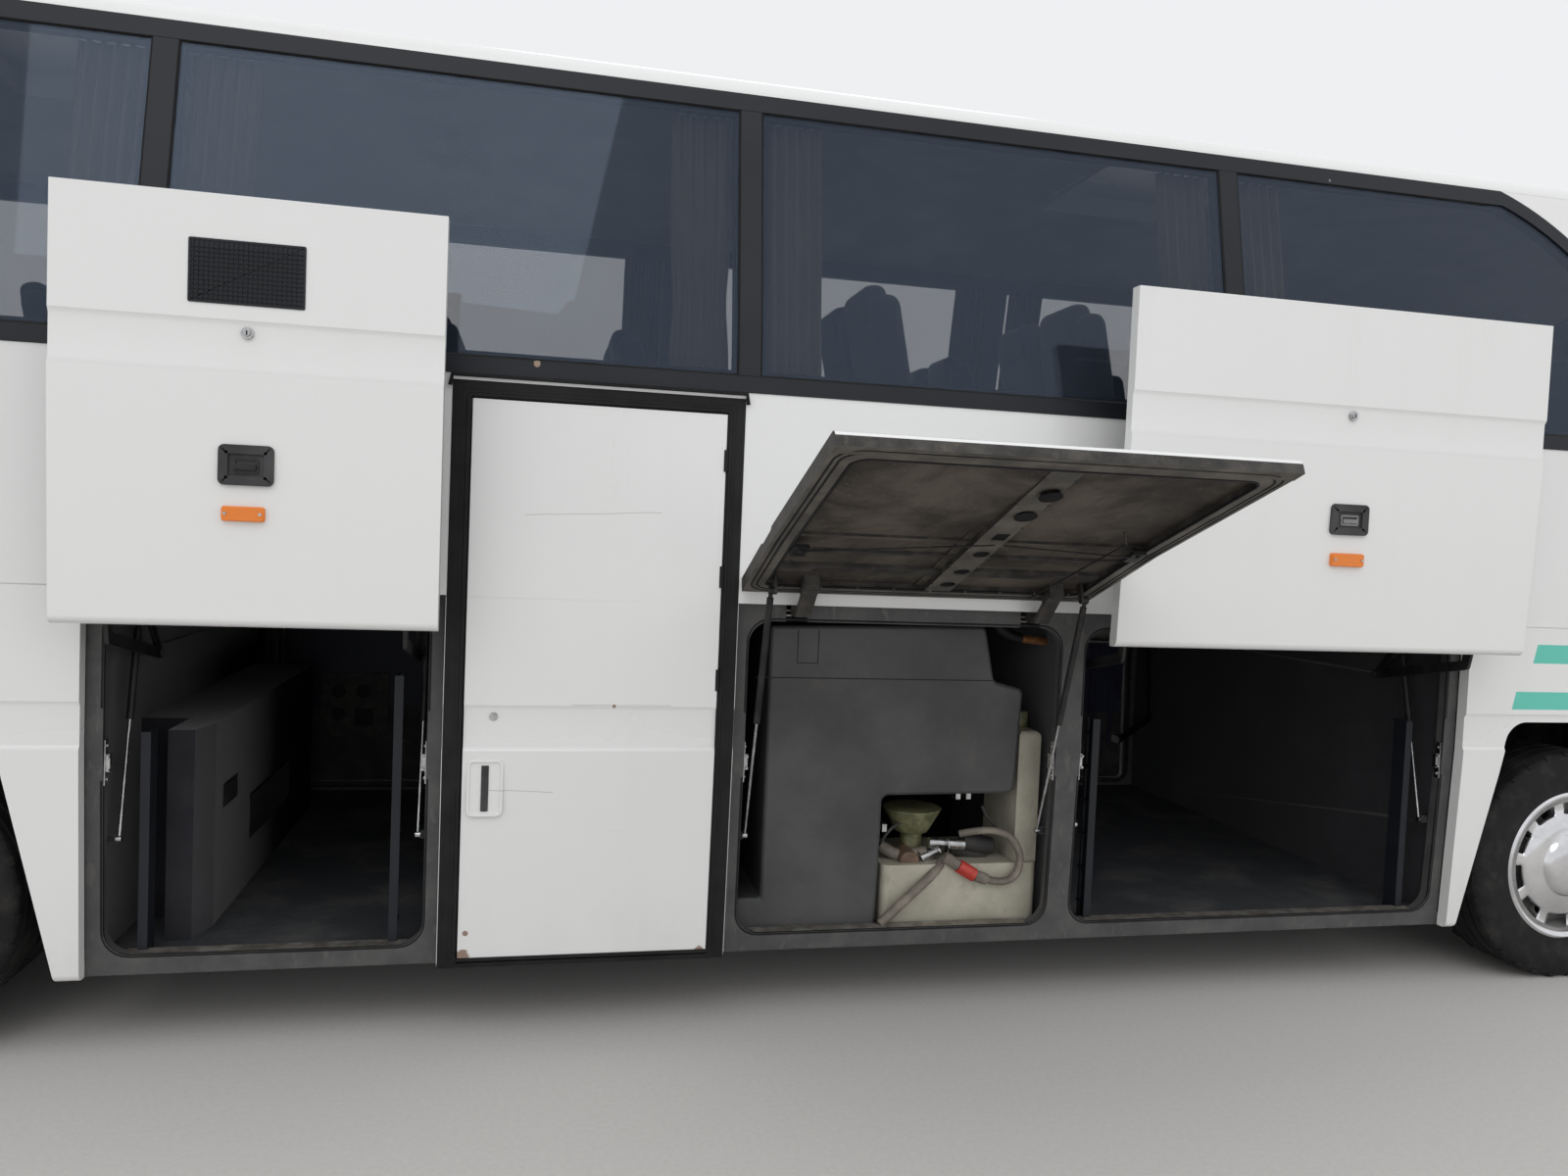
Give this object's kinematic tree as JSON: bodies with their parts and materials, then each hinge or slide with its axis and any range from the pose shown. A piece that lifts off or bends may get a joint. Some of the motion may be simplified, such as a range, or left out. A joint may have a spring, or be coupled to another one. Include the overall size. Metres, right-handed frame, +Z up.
{
  "type": "touring coach with raised luggage flaps",
  "caption": "Full-size touring coach on two axles with raised luggage and service flaps, swing doors, lift-arm linkages, steered front wheels and a fitted cabin.",
  "frame": {"origin": "bottom centre of the box of the whole object at rest, raised flaps and mirrors included, on the road; the coach's own centre plane is at y = 0.557 m and its mid-length at x = -0.038 m", "axes": "+X to the coach's front, +Y to its left, +Z up"},
  "size_m": [12.077, 3.6745, 3.5659],
  "materials": {
    "white_paint": "gloss, dusty",
    "black_trim": "satin",
    "tinted_glass": "gloss",
    "grey_frame": "worn",
    "bay_carpet": "matte",
    "floor_mat": "ribbed",
    "black_steel": "satin",
    "tyre_rubber": "matte",
    "wheel_steel": "satin",
    "chrome_trim": "polished",
    "rod_steel": "polished",
    "seat_cloth": "woven",
    "curtain_cloth": "woven",
    "cab_plastic": "satin",
    "housing_plastic": "satin",
    "tank_plastic": "satin",
    "fitting_plastic": "satin",
    "engine_iron": "satin",
    "lamp_lens": "gloss",
    "seal_rubber": "matte"
  },
  "bodies": {
    "root": {"arm_guards": "black_trim", "bay_floor": "floor_mat", "bay_frames": "grey_frame", "bulkheads": "bay_carpet", "chassis_frame": "black_steel", "curtains": "curtain_cloth", "deck_floor": "floor_mat", "door_surround": "seal_rubber", "driver_cab": "cab_plastic", "engine": "engine_iron", "front_axle": "black_steel", "front_mask": "white_paint", "glazing": "tinted_glass", "lamps": "lamp_lens", "left_wall": "white_paint", "mirrors": "black_trim", "passenger_seats": "seat_cloth", "rear_axle": "black_steel", "rear_mask": "white_paint", "right_wall": "white_paint", "roof": "white_paint", "roof_unit": "white_paint", "wc_fittings": "fitting_plastic", "wc_housing": "housing_plastic", "wc_tank": "tank_plastic", "wheel_boxes": "black_steel", "window_trim": "black_trim"},
    "rear_bay_arms": {"rear_bay_arms": "black_steel"},
    "rear_bay_flap": {"rear_bay_flap": "white_paint"},
    "rear_bay_strut_tubes": {"rear_bay_strut_tubes": "black_steel"},
    "rear_bay_strut_rods": {"rear_bay_strut_rods": "rod_steel"},
    "far_rear_bay_arms": {"far_rear_bay_arms": "black_steel"},
    "far_rear_bay_flap": {"far_rear_bay_flap": "white_paint"},
    "front_bay_arms": {"front_bay_arms": "black_steel"},
    "front_bay_flap": {"front_bay_flap": "white_paint"},
    "front_bay_strut_tubes": {"front_bay_strut_tubes": "black_steel"},
    "front_bay_strut_rods": {"front_bay_strut_rods": "rod_steel"},
    "far_front_bay_arms": {"far_front_bay_arms": "black_steel"},
    "far_front_bay_flap": {"far_front_bay_flap": "white_paint"},
    "service_flap": {"service_flap": "white_paint"},
    "service_strut_tubes": {"service_strut_tubes": "black_steel"},
    "service_strut_rods": {"service_strut_rods": "rod_steel"},
    "mid_door": {"mid_door": "white_paint"},
    "front_door_arms": {"front_door_arms": "black_steel"},
    "front_door": {"front_door": "white_paint", "front_door_glass": "tinted_glass"},
    "engine_door": {"engine_door": "white_paint"},
    "rear_roof_hatch": {"rear_roof_hatch": "white_paint"},
    "front_roof_hatch": {"front_roof_hatch": "white_paint"},
    "front_right_knuckle": {"front_right_knuckle": "black_steel"},
    "front_right_wheel": {"front_right_tyre": "tyre_rubber", "front_right_wheel": "wheel_steel"},
    "rear_right_wheels": {"rear_right_tyres": "tyre_rubber", "rear_right_wheels": "wheel_steel"},
    "front_left_knuckle": {"front_left_knuckle": "black_steel"},
    "front_left_wheel": {"front_left_tyre": "tyre_rubber", "front_left_wheel": "wheel_steel"},
    "rear_left_wheels": {"rear_left_tyres": "tyre_rubber", "rear_left_wheels": "wheel_steel"},
    "steering_wheel": {"steering_wheel": "black_trim"}
  },
  "joints": [
    {"name": "rear_bay_lift", "type": "hinge", "parent": "root", "child": "rear_bay_arms", "pos_m": [-1.657, -0.32843, 1.19808], "axis": [1, 0, 0], "range_deg": [0, 108]},
    {"name": "rear_bay_level", "type": "hinge", "parent": "rear_bay_arms", "child": "rear_bay_flap", "pos_m": [-1.657, -0.863, 1.65], "axis": [1, 0, 0], "range_deg": [-108.01, 0]},
    {"name": "rear_bay_strut_swing", "type": "hinge", "parent": "rear_bay_arms", "child": "rear_bay_strut_tubes", "pos_m": [-1.657, -0.4288, 1.30955], "axis": [1, 0, 0], "range_deg": [-117.75, 0]},
    {"name": "rear_bay_strut_stroke", "type": "slide", "parent": "rear_bay_strut_tubes", "child": "rear_bay_strut_rods", "axis": [0, -0.2136, -0.9769], "range_m": [-0.22408, 0]},
    {"name": "far_rear_bay_lift", "type": "hinge", "parent": "root", "child": "far_rear_bay_arms", "pos_m": [-1.657, 1.44243, 1.19808], "axis": [1, 0, 0], "range_deg": [0, 108]},
    {"name": "far_rear_bay_level", "type": "hinge", "parent": "far_rear_bay_arms", "child": "far_rear_bay_flap", "pos_m": [-1.657, 1.707, 0.55], "axis": [1, 0, 0], "range_deg": [-108.01, 0]},
    {"name": "front_bay_lift", "type": "hinge", "parent": "root", "child": "front_bay_arms", "pos_m": [1.832, -0.32843, 1.19808], "axis": [1, 0, 0], "range_deg": [0, 108]},
    {"name": "front_bay_level", "type": "hinge", "parent": "front_bay_arms", "child": "front_bay_flap", "pos_m": [1.832, -0.863, 1.65], "axis": [1, 0, 0], "range_deg": [-108.01, 0]},
    {"name": "front_bay_strut_swing", "type": "hinge", "parent": "front_bay_arms", "child": "front_bay_strut_tubes", "pos_m": [1.832, -0.4288, 1.30955], "axis": [1, 0, 0], "range_deg": [-117.75, 0]},
    {"name": "front_bay_strut_stroke", "type": "slide", "parent": "front_bay_strut_tubes", "child": "front_bay_strut_rods", "axis": [0, -0.2136, -0.9769], "range_m": [-0.22408, 0]},
    {"name": "far_front_bay_lift", "type": "hinge", "parent": "root", "child": "far_front_bay_arms", "pos_m": [1.832, 1.44243, 1.19808], "axis": [1, 0, 0], "range_deg": [0, 108]},
    {"name": "far_front_bay_level", "type": "hinge", "parent": "far_front_bay_arms", "child": "far_front_bay_flap", "pos_m": [1.832, 1.707, 0.55], "axis": [1, 0, 0], "range_deg": [-108.01, 0]},
    {"name": "service_flap_hinge", "type": "hinge", "parent": "root", "child": "service_flap", "pos_m": [0.3985, -0.667, 1.475], "axis": [1, 0, 0], "range_deg": [0, 111]},
    {"name": "service_strut_swing", "type": "hinge", "parent": "service_flap", "child": "service_strut_tubes", "pos_m": [0.3985, -0.84901, 1.48917], "axis": [1, 0, 0], "range_deg": [-125.23, 0]},
    {"name": "service_strut_stroke", "type": "slide", "parent": "service_strut_tubes", "child": "service_strut_rods", "axis": [0, 0.3059, -0.9521], "range_m": [-0.2313, 0]},
    {"name": "mid_door_hinge", "type": "hinge", "parent": "root", "child": "mid_door", "pos_m": [-0.27885, -0.693, 1.15], "axis": [0, 0, 1], "range_deg": [0, 90]},
    {"name": "front_door_swing", "type": "hinge", "parent": "root", "child": "front_door_arms", "pos_m": [5.15978, -0.48414, 1], "axis": [0, 0, 1], "range_deg": [0, 115]},
    {"name": "front_door_level", "type": "hinge", "parent": "front_door_arms", "child": "front_door", "pos_m": [4.792, -0.613, 1], "axis": [0, 0, 1], "range_deg": [-115.01, 0]},
    {"name": "engine_door_hinge", "type": "hinge", "parent": "root", "child": "engine_door", "pos_m": [-6.0212, 0.557, 1.50015], "axis": [0, 1, 0], "range_deg": [0, 78]},
    {"name": "rear_roof_hatch_hinge", "type": "hinge", "parent": "root", "child": "rear_roof_hatch", "pos_m": [-2.248, 0.557, 3.42515], "axis": [0, 1, 0], "range_deg": [0, 60]},
    {"name": "front_roof_hatch_hinge", "type": "hinge", "parent": "root", "child": "front_roof_hatch", "pos_m": [2.252, 0.557, 3.42515], "axis": [0, 1, 0], "range_deg": [0, 60]},
    {"name": "steer_right", "type": "hinge", "parent": "root", "child": "front_right_knuckle", "pos_m": [3.262, -0.323, 0.465], "axis": [0, 0, 1], "range_deg": [-40, 40]},
    {"name": "front_right_roll", "type": "hinge", "parent": "front_right_knuckle", "child": "front_right_wheel", "pos_m": [3.262, -0.498, 0.465], "axis": [0, 1, 0], "continuous": true},
    {"name": "rear_right_roll", "type": "hinge", "parent": "root", "child": "rear_right_wheels", "pos_m": [-2.808, -0.498, 0.465], "axis": [0, 1, 0], "continuous": true},
    {"name": "steer_left", "type": "hinge", "parent": "root", "child": "front_left_knuckle", "pos_m": [3.262, 1.437, 0.465], "axis": [0, 0, 1], "range_deg": [-40, 40]},
    {"name": "front_left_roll", "type": "hinge", "parent": "front_left_knuckle", "child": "front_left_wheel", "pos_m": [3.262, 1.612, 0.465], "axis": [0, 1, 0], "continuous": true},
    {"name": "rear_left_roll", "type": "hinge", "parent": "root", "child": "rear_left_wheels", "pos_m": [-2.808, 1.612, 0.465], "axis": [0, 1, 0], "continuous": true},
    {"name": "steering_wheel_turn", "type": "hinge", "parent": "root", "child": "steering_wheel", "pos_m": [5.19341, 1.217, 1.45542], "axis": [-0.4695, 0, 0.8829], "range_deg": [-640.1, 640.1]}
  ],
  "couplings": [
    {"joint": "rear_bay_level", "follows": "rear_bay_lift", "ratio": -1},
    {"joint": "rear_bay_strut_swing", "follows": "rear_bay_lift", "ratio": -1.0902},
    {"joint": "rear_bay_strut_stroke", "follows": "rear_bay_lift", "m_per_rad": -0.11877},
    {"joint": "far_rear_bay_level", "follows": "far_rear_bay_lift", "ratio": -1},
    {"joint": "front_bay_level", "follows": "front_bay_lift", "ratio": -1},
    {"joint": "front_bay_strut_swing", "follows": "front_bay_lift", "ratio": -1.0902},
    {"joint": "front_bay_strut_stroke", "follows": "front_bay_lift", "m_per_rad": -0.11877},
    {"joint": "far_front_bay_level", "follows": "far_front_bay_lift", "ratio": -1},
    {"joint": "service_strut_swing", "follows": "service_flap_hinge", "ratio": -1.1281},
    {"joint": "service_strut_stroke", "follows": "service_flap_hinge", "m_per_rad": -0.11929},
    {"joint": "front_door_level", "follows": "front_door_swing", "ratio": -1},
    {"joint": "steer_left", "follows": "steer_right", "ratio": 1},
    {"joint": "steering_wheel_turn", "follows": "steer_right", "ratio": 16}
  ]
}
